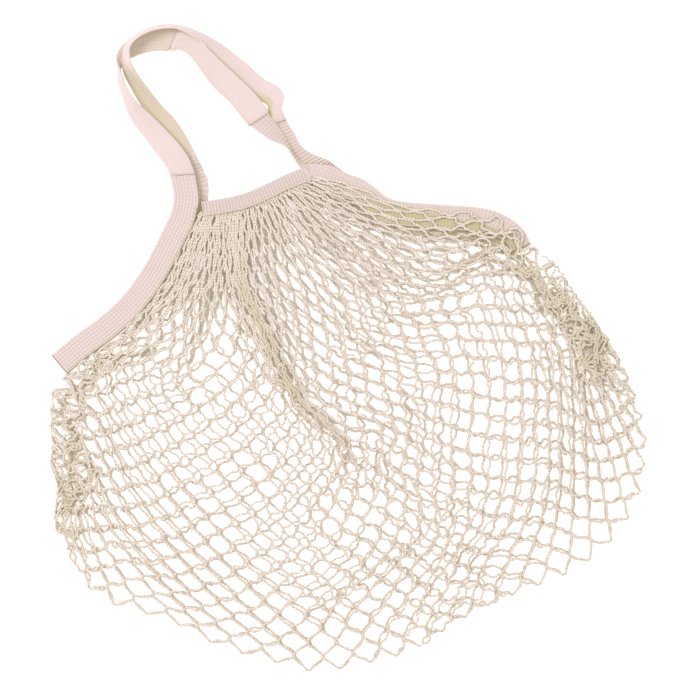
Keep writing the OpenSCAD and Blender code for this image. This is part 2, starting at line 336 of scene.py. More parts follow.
# Painted shade: the olive colour that cotton is mixed toward where it lies in shade.
SHADED_COTTON = (0.58, 0.525, 0.33, 1)
PAINTED_GLOW_COTTON = (0.80, 0.74, 0.52, 1)    # painted glow: warm light that the cotton gives off of its own


def cloth_marks(nodes):
    """What each vertex stores, in mm and radians, and last its share of painted shade, 0 to 1.

    A strip stores across and along. A yarn stores along and around.
    """
    store = nodes.add("ShaderNodeAttribute", attribute_name="cloth")
    parts = nodes.add("ShaderNodeSeparateXYZ")
    nodes.link(store.outputs["Vector"], parts.inputs[0])
    return parts.outputs


def ripple(nodes, angle):
    """A smooth ripple from 0 to 1, once for each whole turn of the angle."""
    return nodes.math("MULTIPLY_ADD", nodes.math("SINE", angle), 0.5, 0.5)


def wave(nodes, value, period):
    """A smooth ripple from 0 to 1 with the given period in mm."""
    return ripple(nodes, nodes.math("MULTIPLY", value, 2 * math.pi / period))


def yarn_material(name, light, reach, low):
    """Twisted two-ply cotton yarn with loose fibres and flecks of shade.

    Cloth within reach, in metres, gives it painted shade. low is the tone of its grooves, painted darker
    as shade between the plies.
    """
    nodes = Nodes(name)
    along, around, shade_mark = cloth_marks(nodes)
    helix = nodes.math("MULTIPLY_ADD", along, 2 * math.pi / 2.6, nodes.math("MULTIPLY", around, 2.0))
    ply = ripple(nodes, helix)
    fleck = nodes.math("MULTIPLY_ADD", nodes.noise(430, 1.0), 3.2, -1.42)
    painted_shade = nodes.math("MAXIMUM", shade_mark, nodes.math("MINIMUM", fleck, 0.55))
    cotton = nodes.shade(light, SHADED_COTTON, reach, painted_shade)
    cream = nodes.mix(nodes.noise(45), light, PINK_COTTON)
    blended = nodes.mix(0.3, cotton, cream)
    speckle = nodes.math("MULTIPLY_ADD", nodes.noise(1500), 0.3, low)
    # Painted shade: the grooves between the two plies are darker.
    groove = nodes.math("MULTIPLY_ADD", ply, 0.22, speckle)
    fibre = nodes.math("MULTIPLY_ADD", nodes.noise(2600), 0.5, ply)
    return nodes.finish(blended, groove, fibre, 0.0003, 0.92)


def knit_material(name, wale, course, wale_share, contrast, distance):
    """Knitted cloth: wales run along the strip, courses across it. wale_share weighs the two.

    contrast is how much darker the grooves are painted, as shade in them, and distance their depth in
    metres.
    """
    nodes = Nodes(name)
    across, along, shade_mark = cloth_marks(nodes)
    wales = wave(nodes, across, wale)
    shifted = nodes.math("MULTIPLY_ADD", wales, 0.4, along)
    courses = nodes.math("MULTIPLY", wave(nodes, shifted, course), 1 - wale_share)
    stitch = nodes.math("MULTIPLY_ADD", wales, wale_share, courses)
    cotton = nodes.shade(LIGHT_COTTON, SHADED_COTTON, 0.012, shade_mark)
    cream = nodes.mix(nodes.noise(30), CREAM_COTTON, LIGHT_COTTON)
    blended = nodes.mix(nodes.math("MULTIPLY_ADD", shade_mark, -0.2, 0.25), cotton, cream)
    speckle = nodes.math("MULTIPLY_ADD", nodes.noise(1200), 0.12, 0.97 - contrast)
    # Painted shade: the grooves between wales and between courses are darker.
    tone = nodes.math("MULTIPLY_ADD", stitch, contrast, speckle)
    fibre = nodes.math("MULTIPLY_ADD", nodes.noise(2400), 0.25, stitch)
    return nodes.finish(blended, tone, fibre, distance, 0.9)


WALE = 2.6          # width of a rib of the side bands
ROW = 2.9           # height of a row of their knit
MOUTH_RIB = 2.6     # width of a rib of the mouth bands
JERSEY_WALE = 1.8   # width of a wale of the straps
YARN = yarn_material("net yarn cotton", CREAM_COTTON, 0.005, 0.70)
THREAD = yarn_material("sewing cotton", PINK_COTTON, 0.001, 0.82)
RIBBED = knit_material("ribbed cotton", WALE, ROW, 0.5, 0.20, 0.0003)
MOUTH_RIBBED = knit_material("gathered rib", 1.5, MOUTH_RIB, 0.12, 0.24, 0.0003)
JERSEY = knit_material("fine jersey", JERSEY_WALE, 1.5, 0.75, 0.11, 0.0002)

# ---------------------------------------------------------------- bands

BAND_THICK = 1.4    # before the relief of its two faces

# Courses of the side bands below the hinge line: x, y, height and width
LEFT_FRONT = [
    (-72, 131, 8, 20), (-78, 117, 7.7, 20), (-90, 103, 7.2, 20), (-105, 86, 6.6, 20),
    (-121, 71, 5.8, 20), (-140, 57, 5, 20), (-162, 46, 4.2, 20), (-183, 38, 3.5, 20),
    (-205, 28, 3.1, 20),
]
LEFT_BACK = [
    (-64, 131, 0.95, 20), (-75, 117, 0.95, 20), (-90, 103, 0.95, 20), (-105, 86, 0.95, 20),
    (-121, 71, 0.95, 20), (-140, 57, 0.95, 20), (-162, 46, 0.95, 20), (-183, 38, 0.95, 20),
    (-205, 28, 0.95, 20),
]
RIGHT_FRONT = [
    (40, 117, 7.7, 20), (50, 108.5, 7.3, 20), (58, 103.5, 7, 20), (64.5, 98, 6.8, 20),
    (71, 88.5, 6.4, 20), (80, 79, 5.8, 20), (96.7, 71.2, 5, 20), (128.5, 60.2, 4.2, 20),
    (153.6, 51, 3.5, 20), (166, 42.5, 3.2, 19), (174, 33, 3.1, 18), (177, 22, 3.1, 17),
]
RIGHT_BACK = [
    (43, 118, 0.95, 20), (52, 107, 0.95, 20), (62, 96, 0.95, 20), (75, 79, 0.95, 20),
    (93, 67, 0.95, 20), (118, 56, 0.95, 20), (145, 46, 0.95, 20), (163, 36, 0.95, 19),
    (173, 22, 0.95, 17),
]
# Pairs of points on the two edges of each foot, from its strap down to the hinge line
LEFT_FRONT_FOOT = [((-61.5, 159, 7.5), (-80.5, 159, 7.5)), ((-60.5, 146, 7.9), (-80.5, 145, 7.9))]
LEFT_BACK_FOOT = [
    ((-57, 161, 2.3), (-74, 160, 2.3)), ((-54, 149, 2.4), (-72.5, 149, 2.4)),
    ((-52, 140, 1.5), (-72, 140, 1.5)),
]
RIGHT_FRONT_FOOT = [
    ((3, 189, 7.4), (-13, 182, 7.4)), ((7.5, 179.5, 7.6), (-7.5, 172.5, 7.8)),
    ((15, 165, 4.5), (4.5, 157.5, 8)), ((18.5, 151.5, 3.2), (15, 149.2, 8)),
    ((21.5, 141, 3.2), (19.2, 138.5, 8)), ((26.5, 132, 4.5), (22, 130, 8)),
    ((35, 130, 6.5), (25.5, 122.5, 9)),
]
RIGHT_BACK_FOOT = [
    ((20.6, 177, 8), (9, 179.5, 1.2)), ((21.7, 168, 8), (10, 169, 1.2)),
    ((25, 157, 8.5), (14.5, 157, 1)), ((27.5, 146.5, 9), (17.5, 144.5, 1)),
    ((34, 138.5, 9), (20.5, 134.5, 1)), ((45, 130.5, 7), (25.5, 126, 1)),
]
MOUTH = [(-62, 118), (-44, 116), (-27, 115.5), (-8, 118), (10, 121.5), (29, 123.5)]
MOUTH_W = 12.0
FRONT_Z, BACK_Z = 8.0, 0.95     # heights of the front and the back mouth band


def edges_of(course, gap):
    """The two edge curves of a flat band: left of its course, then right."""
    p = spaced(course, gap)
    d = unit(np.gradient(p[:, :2], axis=0))
    side = np.stack([d[:, 1], -d[:, 0], np.zeros(len(d))], axis=1) * p[:, 3:4] / 2
    return p[:, :3] - side, p[:, :3] + side


def waffle(a, b):
    """Relief of the side bands: ribs along the strip, crossed by the rows of the knit."""
    return 0.42 * (np.abs(np.cos(math.pi * a / WALE)) - 0.6) + 0.30 * np.cos(2 * math.pi * b / ROW)


def cross_ribs(a, b):
    """Relief of the mouth bands: ribs that run across the strip."""
    return 0.80 * (np.abs(np.cos(math.pi * b / MOUTH_RIB)) - 0.6) + 0.05 * np.cos(4 * a)


def edges_through(pairs, gap):
    """Two edge curves through pairs of edge points, with as many points on both."""
    both = smooth(np.hstack([[p[0] for p in pairs], [p[1] for p in pairs]]), 24)
    r = lengths((both[:, :3] + both[:, 3:]) / 2)
    s = np.linspace(0, r[-1], int(r[-1] / gap))
    both = np.stack([np.interp(s, r, both[:, k]) for k in range(6)], axis=1)
    return both[:, :3], both[:, 3:]


def band_edges(foot, course):
    """Edge curves of half a side band, from the top of its foot to the bag's corner."""
    left, right = edges_of(course, 9)
    return edges_through(foot + list(zip(left.tolist(), right.tolist())), 0.55)


def corner_fold(low, high):
    """The rounded end of a side band, from its back half at low up to its front half at high."""
    r = (high[0][-1][2] - low[0][-1][2]) / 2
    onward = unit((high[0][-1] + high[1][-1] - high[0][-2] - high[1][-2]) * [1, 1, 0])
    turn = np.radians(np.arange(75, -76, -15))[:, None]
    arc = onward * r * np.cos(turn) + UP * (r * np.sin(turn) - r)
    return high[0][-1] + arc, high[1][-1] + arc


def right_band_shade(a, place):
    """Painted shade on the right band's inner part, below its turned edge, which widens to the corner.
    """
    x = place[..., 0]
    turned = np.interp(x, [60, 83, 100, 125, 150, 170, 190], [14, 1.5, 2.5, 8, 10, 11, 12])
    return ease(a - turned, 0, 2) * ease(x, 48, 62)


def right_back_shade(a, place):
    """The back half of the right band is in shade under the front one and inside its foot's turn."""
    # Painted shade: the share of shade colour given to this half of the band.
    slit = ease(a, 11, 13) * ease(place[..., 1], 132, 146)
    return np.maximum(slit, ease(place[..., 0], 60, 75))


def band_half(name, edges, nodes, fold):
    """Half of a side band, from its foot to the corner, on no body and baked in place."""
    piece = strip_object(name, edges, BAND_THICK, waffle, RIBBED, None, 0.36, 0, fold)
    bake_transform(piece)
    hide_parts(*nodes)


def side_band(name, front_foot, front, back_foot, back, folds=(None, None)):
    """A side band that turns round the bag's corner, and the two feet it ends in."""
    high = band_edges(front_foot, front)
    low = band_edges(back_foot, back)
    back_edges = [np.vstack([turn, edge[::-1]]) for turn, edge in zip(corner_fold(low, high), low)]
    front_nodes = (name + "_side_band", "front_" + name + "_foot")
    band_half(name + "_band_front", high, front_nodes, folds[0])
    band_half(name + "_band_back", back_edges, ("back_" + name + "_foot",), folds[1])


side_band("left", LEFT_FRONT_FOOT, LEFT_FRONT, LEFT_BACK_FOOT, LEFT_BACK)
side_band("right", RIGHT_FRONT_FOOT, RIGHT_FRONT, RIGHT_BACK_FOOT, RIGHT_BACK,
          (right_band_shade, right_back_shade))


def mouth_course(z):
    """The course of a mouth band at height z."""
    return [(x, y, z, MOUTH_W) for x, y in MOUTH]


def mouth_band(name, z, node):
    """A ribbed band that one layer of the net is gathered into."""
    edges = edges_of(mouth_course(z), 0.28)
    piece = strip_object(name, edges, BAND_THICK, cross_ribs, MOUTH_RIBBED, BAG)
    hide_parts(node)


mouth_band("front_mouth_ribbing", FRONT_Z, "front_mouth_band")
mouth_band("back_mouth_ribbing", BACK_Z, "back_mouth_band")

# ---------------------------------------------------------------- straps

STRAP_THICK = 2.0

# Pairs of points on the two edges of each strap, from its left foot to its right foot
FRONT_STRAP = [
    ((-79, 150, 8.9), (-60, 146, 9.0)),
    ((-82, 161, 8.6), (-62, 161, 9.0)),
    ((-87, 173, 7.6), (-66, 172, 8.6)),
    ((-94, 190, 5.6), (-74, 188, 7.2)),
    ((-99, 203, 3.6), (-83, 203, 9.5)),
    ((-100.5, 216, 2.4), (-91, 215, 14)),
    ((-101, 228, 2.6), (-95, 227, 15.5)),
    ((-99.5, 240, 4.6), (-96, 239, 14.5)),
    ((-92, 248, 4.4), (-97, 254, 9)),
    ((-82, 251.5, 3.2), (-85, 265, 5)),
    ((-70, 252, 2.8), (-71, 267, 6)),
    ((-60, 250, 2.6), (-56, 266, 7)),
    ((-55, 249, 2.6), (-43, 260.5, 7.5)),
    ((-42, 261, 9), (-54, 248, 4.4)),
    ((-37, 259, 9.6), (-46, 246, 5)),
    ((-29, 251, 9), (-39, 237, 4.6)),
    ((-22, 237, 8), (-34, 224, 4.6)),
    ((-11, 219, 7.6), (-28, 210, 5)),
    ((1, 200, 8), (-19, 195, 6.4)),
    ((8, 184, 8.8), (-12, 179, 8.5)),
    ((9, 179, 8.8), (-9, 172, 8.9)),
]
BACK_STRAP = [
    ((-72, 150, 0.95), (-53, 148, 0.95)),
    ((-74, 161, 0.95), (-55, 160, 0.95)),
    ((-78, 181, 0.95), (-59, 177, 0.95)),
    ((-84, 200, 1), (-65, 195, 1.6)),
    ((-88.5, 213, 1.6), (-72, 207, 6)),
    ((-91.5, 226, 3), (-79, 223, 14)),
    ((-94.5, 240, 4.6), (-85, 239, 18)),
    ((-93, 252, 5), (-85.5, 251, 18.6)),
    ((-86, 263, 4.6), (-82, 258, 18.3)),
    ((-73, 268.5, 3.4), (-72, 263, 17.8)),
    ((-58, 270, 2.6), (-59, 264.5, 17.3)),
    ((-42, 265.5, 2), (-44, 261.5, 16)),
    ((-27, 256, 1.4), (-33, 252, 12)),
    ((-12, 242, 1), (-24, 237, 4)),
    ((1, 225, 1), (-16, 217, 1.6)),
    ((13, 207, 2), (-6, 202, 1)),
    ((21, 199, 4.5), (4, 192, 1)),
    ((25, 189.5, 7.5), (9.5, 185.5, 1)),
    ((20.6, 178.5, 9.3), (8.8, 179.5, 2.5)),
    ((21.6, 169, 9.3), (10, 169.5, 2.5)),
]


def jersey(a, b):
    """Relief of the straps: fine wales along the strip and soft folds."""
    return 0.13 * np.cos(2 * math.pi * a / JERSEY_WALE) + 0.10 * np.cos(2 * math.pi * a / 6.5)


def back_strap_shade(a, place):
    """The back strap is in shade under the front one, and inside its turn above the right foot."""
    x, y = place[..., 0], place[..., 1]
    # Painted shade: the share of shade colour given to the back strap.
    turned = 0.8 * ease(a, 9.5, 11.5) * ease(199 - y, 0, 8) * ease(y, 174, 178) * (x > 0)
    under = 0.55 * ease(a, 1, 5) * ease(-x, 55, 62) * ease(y, 158, 168) * ease(246 - y, 0, 12)
    return np.maximum(turned, under)


def front_strap_shade(a, place):
    """Painted shade on the front strap's inner side, seen where it turns over at the top, and along its
    far edge on the right.
    """
    x, y = place[..., 0], place[..., 1]
    top = 0.35 * ease(x, -96, -70) * ease(-x, 50, 58) * ease(y, 240, 248)
    return np.maximum(top, 0.3 * ease(a, 12, 18) * ease(x, -45, -30))


def strap(name, pairs, body, node, seed, fold):
    """A doubled jersey strap, a little uneven along its edges."""
    edges = edges_through(pairs, 0.8)
    run = lengths((edges[0] + edges[1]) / 2)[:, None]
    soft = np.random.default_rng(seed)
    for edge in edges:
        for _ in range(4):
            sway = soft.normal(0, 0.14, 2)
            stretch = soft.uniform(9, 30)
            shift = soft.uniform(0, 6)
            edge[:, :2] += sway * np.sin(run / stretch + shift)
    piece = strip_object(name, edges, STRAP_THICK, jersey, JERSEY, body, 0.34, 0.4, fold)
    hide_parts(node)


strap("front_handle_strap", FRONT_STRAP, FRONT, "front_strap", 3, front_strap_shade)
strap("back_handle_strap", BACK_STRAP, BACK, "back_strap", 5, back_strap_shade)

# ---------------------------------------------------------------- net

CELLS = 32          # meshes across each layer
ROWS = 32           # half meshes from the mouth to the bottom
LEG = 16.4          # yarn between two joints
YARN_R = 1.0        # middle radius of a chained yarn, which is thick and thin in turn
KNOT = 1.9          # half the length over which two yarns are joined
CLOSING = 0.26      # how much closer together the rows lie towards the bottom

MOUTH_EDGE = [(-65, 114.5), (-50, 112), (-34, 110), (-15, 110.5), (2, 112.5), (19, 116), (33, 119)]
LEFT_SIDE = [
    (-65, 114.5), (-71, 108), (-83, 99), (-98, 78.5), (-112, 65.5), (-129, 52), (-150, 40),
    (-168, 32), (-188, 25), (-204, 17), (-216, 8), (-224, -17), (-231, -50), (-231, -64),
]
RIGHT_SIDE_FRONT = [
    (33, 119), (46, 113), (60, 107), (72, 96), (84, 84), (100, 77), (122, 68), (150, 59),
    (165, 52), (178, 39), (188, 20), (200, 2), (208, -22), (217, -45), (226, -72),
]
RIGHT_SIDE_BACK = [
    (33, 119), (36, 112), (44, 101), (57, 88), (74, 74), (94, 63), (120, 53), (147, 43),
    (170, 30), (184, 22), (192, 12), (200, 2), (208, -22), (217, -45), (226, -72),
]
BOTTOM = [
    (-231, -64), (-229, -84), (-236, -113), (-233, -137), (-222, -163), (-193, -181),
    (-165, -200), (-142, -222), (-120, -236), (-92, -252), (-70, -264), (-36, -267), (6, -268),
    (28, -261), (52, -253), (87, -246), (130, -242), (160, -236), (190, -221), (215, -197),
    (226, -174), (234, -153), (234, -110), (226, -72),
]


def edge_at(edge, t):
    """Places on an edge of the net, where t runs from 0 to 1 along it."""
    p = smooth(edge, 8)
    r = lengths(p)
    return np.stack([np.interp(t * r[-1], r, p[:, k]) for k in range(2)], axis=-1)


def spread_net(top, left, right, bottom, size=56, rounds=600):
    """A square of places stretched evenly inside the four edges of a spread net."""
    t = np.linspace(0, 1, size + 1)
    top, left, right, low = (edge_at(e, t) for e in (top, left, right, bottom))
    a, b = t[None, :, None], t[:, None, None]
    corners = ((1 - a) * (1 - b) * top[0] + a * (1 - b) * top[-1]
               + (1 - a) * b * low[0] + a * b * low[-1])
    g = (1 - b) * top[None] + b * low[None] + (1 - a) * left[:, None] + a * right[:, None] - corners
    for _ in range(rounds):
        around = (g[:-2, 1:-1] + g[2:, 1:-1] + g[1:-1, :-2] + g[1:-1, 2:]) / 4
        g[1:-1, 1:-1] += 0.9 * (around - g[1:-1, 1:-1])
    return g


def place_on(g, u, v):
    """The place u across and v down a spread net."""
    n = g.shape[0] - 1
    x, y = np.clip(u, 0, 1) * n, np.clip(v, 0, 1) * n
    i, j = np.minimum(x.astype(int), n - 1), np.minimum(y.astype(int), n - 1)
    fx, fy = (x - i)[..., None], (y - j)[..., None]
    upper = (1 - fx) * g[j, i] + fx * g[j, i + 1]
    lower = (1 - fx) * g[j + 1, i] + fx * g[j + 1, i + 1]
    return (1 - fy) * upper + fy * lower


def pinch(u, at, wide, share):
    """Draws the strands near one place together."""
    return u - share * (u - at) * np.exp(-(((u - at) / wide) ** 2))


def gather(u, v):
    """Where each strand lies across the spread net: a long fold, a short one, and loose sides."""
    fold = 0.30 + 0.19 * ease(v, 0.05, 0.72) - 0.03 * ease(v, 0.75, 1.0)
    out = np.where(u < 0.42, u * fold / 0.42, fold + (u - 0.42) * (1 - fold) / 0.58)
    out = pinch(out, fold, 0.12, 0.84 * ease(v, -0.1, 0.20) * (1 - ease(v, 0.58, 0.74)))
    out = pinch(out, 0.19, 0.06, 0.55 * ease(v, 0.0, 0.2) * (1 - ease(v, 0.40, 0.60)))
    out = pinch(out, 0.028, 0.20, 0.86 * ease(v, 0.42, 0.60) * (1 - 0.6 * ease(v, 0.88, 1.0)))
    out = pinch(out, 0.97, 0.17, 0.82 * ease(v, 0.40, 0.60) * (1 - 0.7 * ease(v, 0.86, 1.0)))
    return np.where(u <= 0, 0, np.where(u >= 1, 1, out))


def wrinkle(points, seed, size, reach, count=8):
    """A smooth random shift of the points, as cloth that was never pulled straight."""
    soft = np.random.default_rng(seed)
    shift = np.zeros_like(points[..., :2])
    for _ in range(count):
        heading = soft.uniform(0, 2 * math.pi)
        wave_no = 2 * math.pi / soft.uniform(*reach)
        turn = points[..., 0] * math.cos(heading) + points[..., 1] * math.sin(heading)
        way = soft.normal(0, size / math.sqrt(count), 2)
        shift += way * np.sin(turn * wave_no + soft.uniform(0, 6.3))[..., None]
    return shift


def row_place(g, share):
    """How far down the net a row lies, measured along the net's middle."""
    n = g.shape[0] - 1
    middle = (g[:, int(n * 0.4)] + g[:, int(n * 0.6)]) / 2
    r = lengths(middle)
    return float(np.interp(share * r[-1], r, np.linspace(0, 1, n + 1)))


def joint_rows(g, seed, drift, half):
    """Places of the net's joints, row by row. Odd rows have one more, at both side edges."""
    soft = np.random.default_rng(seed)
    rows = []
    for j in range(ROWS + 1):
        t = j / ROWS
        u = (np.arange(CELLS) + 0.5) / CELLS if j % 2 == 0 else np.arange(CELLS + 1) / CELLS
        v = np.full(len(u), row_place(g, (1 + CLOSING) * t - CLOSING * t * t))
        across = np.sin(math.pi * np.clip(u, 0, 1))
        aside = half / CELLS * (1 - 0.5 * ease(v, 0.5, 0.8)) * across ** 0.3 * (1 - ease(v, 0.9, 1.0))
        inside = (u > 0) & (u < 1)
        place = place_on(g, gather(u + aside * inside, v), v)
        loose = (across ** 0.4 * (ease(t, 0, 0.4) * ease(1 - t, 0, 0.1) + 0.1 * (0 < j < ROWS)))[:, None]
        for k, size, reach in ((77, 5.0, (50, 130)), (78, 3.0, (25, 50)), (seed, drift, (45, 120))):
            place = place + wrinkle(place, k, size, reach) * loose
        crumpled = np.exp(-np.minimum(u / 0.17, (1 - u) / 0.12) ** 2) * inside
        crumpled *= ease(v, 0.42, 0.6) * (1 - ease(v, 0.88, 1.0))
        place = place + soft.normal(0, 2.4, place.shape) * loose
        rows.append(place + soft.normal(0, 4.5, place.shape) * crumpled[:, None])
    return rows


def settle(rows, rounds, evenness):
    """Draws in legs longer than their yarn, and keeps joints from lying on each other."""
    pins = [r.copy() for r in rows]
    for _ in range(rounds):
        for j in range(ROWS):
            for k in (0, 1):
                p = rows[j] if j % 2 == 0 else rows[j][k:k + CELLS]
                q = rows[j + 1][k:k + CELLS] if j % 2 == 0 else rows[j + 1]
                gap = q - p
                far = np.linalg.norm(gap, axis=1, keepdims=True) + 1e-6
                off = np.clip(far - 0.97 * LEG, 0, None) - 0.3 * np.clip(0.3 * LEG - far, 0, None)
                pull = 0.45 * gap / far * (off + evenness * (far - 0.8 * LEG))
                p += pull
                q -= pull
        rows[0][:] = pins[0]
        rows[-1][:] = pins[-1]
        for j in range(1, ROWS, 2):
            rows[j][0] = pins[j][0]
            rows[j][-1] = pins[j][-1]


def strand_route(rows, s):
    """The joints that strand s passes, and the side of each joint that it keeps to."""
    joints, sides = [], []
    for j in range(ROWS + 1):
        even = j % 2 == 0
        joints.append(rows[j][s // 2] if even else rows[j][(s + 1) // 2])
        sides.append(1 if (s % 2 == 1) == even else -1)
    return np.array(joints), np.array(sides)


def leg(a, b, room, soft):
    """Two points that carry a slack leg from a to b, bowed sideways, within room, and up."""
    run = b - a
    chord = np.linalg.norm(run[:2])
    spare = np.clip(LEG - 2 * KNOT - chord, 0, 6.0)
    bow = math.sqrt(0.23 * spare * max(chord, 1)) * soft.choice([-1, 1]) * soft.uniform(0.35, 0.95)
    bow = np.clip(bow, -room, room)
    swing = (bow, bow * soft.choice([1, 1, -0.6]))
    lift = abs(bow) * soft.uniform(-0.3, 0.9, 2)
    aside = unit(np.array([-run[1], run[0], 0.0]))
    return [a + run * part + aside * (w + soft.normal(0, 0.35)) + [0, 0, h]
            for part, w, h in zip((0.33, 0.67), swing, lift)]


def layer_strands(g, seed, drift, half, height, start_z):
    """The yarns of one layer. Each runs down, joined in turn to its left and right neighbour."""
    rows = joint_rows(g, seed, drift, half)
    settle(rows, 40, 0.05)
    settle(rows, 60, 0.0)
    soft = np.random.default_rng(seed + 1)
    strands = []
    for s in range(2 * CELLS):
        joints, sides = strand_route(rows, s)
        u, t = (s + 0.5) / (2 * CELLS), np.arange(ROWS + 1) / ROWS
        room = 0.8 + 6 * ease(t, 0.15, 0.6)
        tall = np.array([height(u, t[j], joints[j]) for j in range(ROWS + 1)])
        tall += soft.uniform(-0.3, 0.5, ROWS + 1)
        tall[0] = start_z
        ahead = unit(np.gradient(joints, axis=0))
        beside = np.stack([-ahead[:, 1], ahead[:, 0]], axis=1)
        place = np.column_stack([joints + beside * (0.8 * sides)[:, None], tall + 0.25 * sides])
        before = place - np.column_stack([ahead * KNOT, np.zeros(ROWS + 1)])
        after = place + np.column_stack([ahead * KNOT, np.zeros(ROWS + 1)])
        route = [before[0], after[0]]
        for j in range(ROWS):
            route += leg(after[j], before[j + 1], room[j], soft) + [before[j + 1]]
            if j + 1 < ROWS:
                route.append(after[j + 1])
        route.append(place[-1] + [*(ahead[-1] * 0.6), 0])
        strands.append(beaded(smooth(np.array(route), 3), soft))
    return strands


def beaded(curve, soft, gap=1.25):
    """A chained yarn: thick and thin in turn, and never quite straight."""
    path = at_lengths(curve, np.arange(-soft.uniform(0, gap), lengths(curve)[-1], gap).clip(0))
    path = path + soft.normal(0, 0.09, path.shape)
    path[:, 2] = np.maximum(path[:, 2], 1.32 * YARN_R)
    thick = np.where(np.arange(len(path)) % 2 == 0, 1.09, 0.89) + soft.normal(0, 0.05, len(path))
    return path, YARN_R * thick, soft.uniform(0, 6)


def front_height(u, t, place):
    """Height of the front layer: held up by the bands, low at the edges, with soft pleats."""
    held = 4.6 * max(0, 1 - t / 0.42) ** 1.3
    loft = 7.5 * (1 - abs(2 * u - 1) ** 4) * math.sin(math.pi * min(1, 0.03 + 0.97 * t)) ** 0.7
    pleat = 1.4 * math.sin(2 * math.pi * 6.3 * u + 2 * t) * math.sin(math.pi * t)
    side = math.exp(-min(u, 1 - u) / 0.07) * math.exp(-(((t - 0.70) / 0.24) ** 2))
    crumple = 4.5 * side * (1 + 0.8 * math.sin(place[0] / 5.0) * math.sin(place[1] / 7.0))
    return 1.0 + 1.4 * ease(t, 0, 0.1) * ease(1 - t, 0, 0.06) + held + loft + pleat + crumple


def back_height(u, t, place):
    """Height of the back layer, which lies on the table."""
    side = math.exp(-min(u, 1 - u) / 0.06) * math.exp(-(((t - 0.70) / 0.24) ** 2))
    return 1.0 + 2.5 * side * (0.7 + 0.5 * math.sin(place[1] / 6.0))


def over_band(strands, course, proud):
    """Lifts yarn that lies on a band's face to that face."""
    band = spaced(course, 2.0)
    for path, _, _ in strands:
        near = np.linalg.norm(path[:, None, :2] - band[None, :, :2], axis=2)
        k = near.argmin(axis=1)
        on = near[np.arange(len(path)), k] < band[k, 3] / 2 + 1
        path[on, 2] = np.maximum(path[on, 2], band[k[on], 2] + proud)


def crowd_shade(strands):
    """Painted shade at each point of the yarns, 0 to 1: more where many yarns lie close together, less
    towards the mouth.
    """
    every = np.vstack([path[:, :2] for path, _, _ in strands])
    low = every.min(axis=0) - 10
    place = ((every - low) / 5).astype(int)
    count = np.zeros(place.max(axis=0) + 4)
    np.add.at(count, (place[:, 0], place[:, 1]), 1)
    count = (count + (np.roll(count, 1, 0) + np.roll(count, -1, 0)
                      + np.roll(count, 1, 1) + np.roll(count, -1, 1)) / 4) / 2
    out = []
    for path, radius, phase in strands:
        i, j = ((path[:, :2] - low) / 5).astype(int).T
        painted_shade = 0.8 * ease(count[i, j], 13, 28) * (1 - 0.75 * ease(path[:, 1], 20, 90))
        out.append((path, radius, phase, painted_shade))
    return out


front_spread = spread_net(MOUTH_EDGE, LEFT_SIDE, RIGHT_SIDE_FRONT, BOTTOM)
back_spread = spread_net(MOUTH_EDGE, LEFT_SIDE, RIGHT_SIDE_BACK, BOTTOM)
front_yarns = layer_strands(front_spread, 43, 7.0, 0.0, front_height, FRONT_Z - 0.6)
back_yarns = layer_strands(back_spread, 41, 8.0, 0.5, back_height, BACK_Z + 0.4)
over_band(front_yarns, RIGHT_FRONT, 1.7)
# Painted shade where yarns crowd together, added to each strand.
shaded_yarns = crowd_shade(front_yarns + back_yarns)
front_yarns, back_yarns = shaded_yarns[:2 * CELLS], shaded_yarns[2 * CELLS:]


def net_piece(name, strands, node):
    """Half of a layer's yarns, in place of the net part that is hidden."""
    piece = yarn_object(name, strands, YARN, BAG)
    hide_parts(node)


for layer, yarns in (("front", front_yarns), ("back", back_yarns)):
    net_piece("net_" + layer + "_left_yarns", yarns[:CELLS], "net_" + layer)
    net_piece("net_" + layer + "_right_yarns", yarns[CELLS:], "net_" + layer)

# ---------------------------------------------------------------- sewing

CHAIN_PITCH = 2.6       # length over which the two threads of a chain turn once
CHAIN_RISE = 0.9        # height of a chain above its band's middle
JOIN_R = 0.65           # radius of the yarn that joins the two layers
JOIN_LOOP = 0.8         # radius of its turns round their edges
JOIN_PITCH = 6.5
JOIN_Z = 2.2            # height of the middle of its turns
BARE_FROM = 10          # number of the side edge's point where the band ends
STITCH_R = 0.2
STITCH_DIP = 0.3        # how far a stitch's ends dip into the cloth
LAP_STITCHES = 11


def twisted_pair(route, radius):
    """Two threads wound round each other along a route."""
    p = spaced(route, 0.7)
    _, beside, over = directions(p)
    out = []
    for half in (0, math.pi):
        turn = (2 * math.pi * lengths(p) / CHAIN_PITCH + half)[:, None]
        path = p + radius * (np.cos(turn) * beside + np.sin(turn) * over)
        out.append((path, radius, half))
    return out


def edge_route(course, on_right, inset):
    """A line on a band's face, inset from its right or its left edge."""
    left, right = edges_of(course, 4.0)
    edge, other = (right, left) if on_right else (left, right)
    return edge + unit(other - edge) * inset + UP * CHAIN_RISE


def below_hinge(line):
    """The points of a line that stay with the bag when the handles lift."""
    return line[line[:, 1] < HINGE_Y - 8]


def chain(name, routes, node, radius):
    """Two threads chained along each route."""
    strands = [thread for route in routes for thread in twisted_pair(route, radius)]
    piece = yarn_object(name, strands, YARN, BAG, twist=0)
    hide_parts(node)


def band_chain(side, front, back, on_right):
    """The seam of a side band on the net, along its front and its back half."""
    routes = [below_hinge(edge_route(course, on_right, 1.2)) for course in (front, back)]
    chain(side + "_band_chain", routes, side + "_band_stitch", 0.42)


chain("front_gather_chain", [edge_route(mouth_course(FRONT_Z), True, 0.9)], "front_gather_stitch", 0.5)
chain("back_gather_chain", [edge_route(mouth_course(BACK_Z), True, 0.9)], "back_gather_stitch", 0.5)
band_chain("left", LEFT_FRONT, LEFT_BACK, False)
band_chain("right", RIGHT_FRONT, RIGHT_BACK, True)


